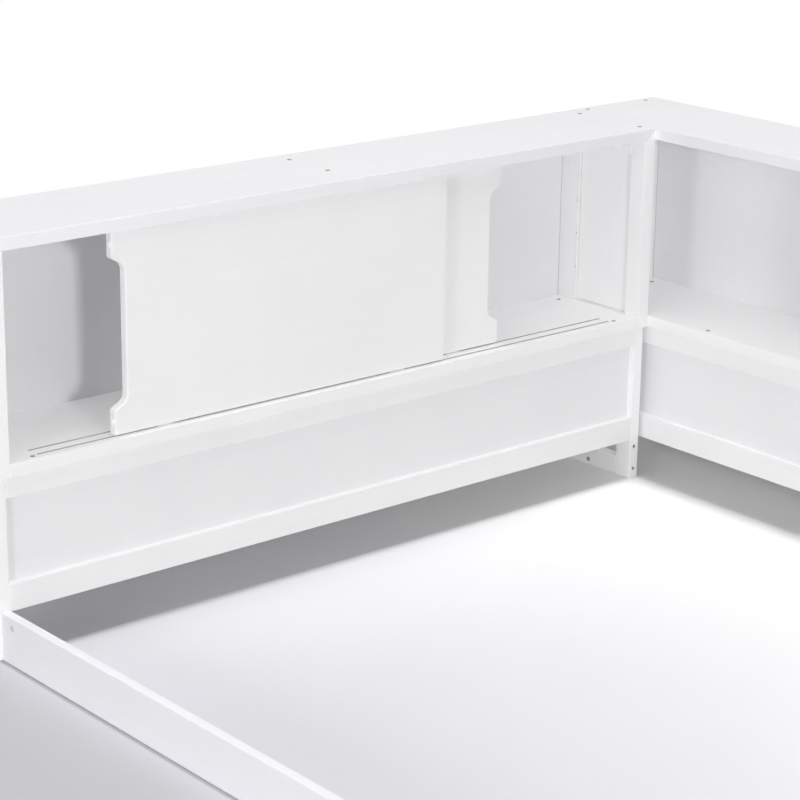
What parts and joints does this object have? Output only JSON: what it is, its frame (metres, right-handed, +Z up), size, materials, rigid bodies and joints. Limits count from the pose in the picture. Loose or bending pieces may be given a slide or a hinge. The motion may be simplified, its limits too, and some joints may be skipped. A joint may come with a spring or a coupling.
{
  "type": "bookcase headboard bed",
  "caption": "Low L-shaped bookcase bed frame: headboard bookcase with sliding doors, open side bookcase and floor-standing rails round the mattress bay.",
  "frame": {"origin": "middle of the bed's footprint, on the floor", "axes": "+X towards the side bookcase, +Y towards the headboard, +Z up"},
  "size_m": [1.62, 2.149, 0.672],
  "materials": {
    "white_paint": "satin white painted fibreboard",
    "door_paint": "satin white painted fibreboard",
    "panel_paint": "satin white thin panel",
    "zinc": "zinc plated",
    "beech": "raw wood",
    "glide_plastic": "moulded",
    "bumper": "soft clear-white"
  },
  "bodies": {
    "bed": {"case_screws": "zinc", "dowels": "beech", "foot_rail": "white_paint", "headboard_back": "panel_paint", "headboard_base_apron": "white_paint", "headboard_base_back_rails": "white_paint", "headboard_base_bottom_rail": "white_paint", "headboard_base_cross_rails": "white_paint", "headboard_base_left_front_post": "white_paint", "headboard_base_left_rear_post": "white_paint", "headboard_base_left_stretchers": "white_paint", "headboard_base_panel": "panel_paint", "headboard_base_right_front_post": "white_paint", "headboard_base_right_rear_post": "white_paint", "headboard_base_right_stretchers": "white_paint", "headboard_divider": "white_paint", "headboard_left_end_panel": "panel_paint", "headboard_left_end_rails": "white_paint", "headboard_left_front_stile": "white_paint", "headboard_left_rear_stile": "white_paint", "headboard_right_end_panel": "panel_paint", "headboard_right_end_rails": "white_paint", "headboard_right_front_stile": "white_paint", "headboard_right_rear_stile": "white_paint", "headboard_shelf": "white_paint", "headboard_top": "white_paint", "rail_bolts": "zinc", "rail_cross_nuts": "zinc", "side_back": "panel_paint", "side_base_apron": "white_paint", "side_base_back_rails": "white_paint", "side_base_bottom_rail": "white_paint", "side_base_cross_rails": "white_paint", "side_base_foot_front_post": "white_paint", "side_base_foot_rear_post": "white_paint", "side_base_foot_stretchers": "white_paint", "side_base_head_front_post": "white_paint", "side_base_head_rear_post": "white_paint", "side_base_head_stretchers": "white_paint", "side_base_panel": "panel_paint", "side_divider_1": "white_paint", "side_divider_2": "white_paint", "side_foot_end_panel": "panel_paint", "side_foot_end_rails": "white_paint", "side_foot_front_stile": "white_paint", "side_foot_rear_stile": "white_paint", "side_head_end_panel": "panel_paint", "side_head_end_rails": "white_paint", "side_head_front_stile": "white_paint", "side_head_rear_stile": "white_paint", "side_rail": "white_paint", "side_shelf": "white_paint", "side_top": "white_paint"},
    "front_door_body": {"front_door": "door_paint", "front_door_bumpers": "bumper", "front_door_glides": "glide_plastic"},
    "rear_door_body": {"rear_door": "door_paint", "rear_door_bumpers": "bumper", "rear_door_glides": "glide_plastic"}
  },
  "joints": [
    {"name": "front_door_slide", "type": "slide", "parent": "bed", "child": "front_door_body", "axis": [1, 0, 0], "range_m": [-0.1945, 0.4665]},
    {"name": "rear_door_slide", "type": "slide", "parent": "bed", "child": "rear_door_body", "axis": [1, 0, 0], "range_m": [-0.3435, 0.3175]}
  ]
}
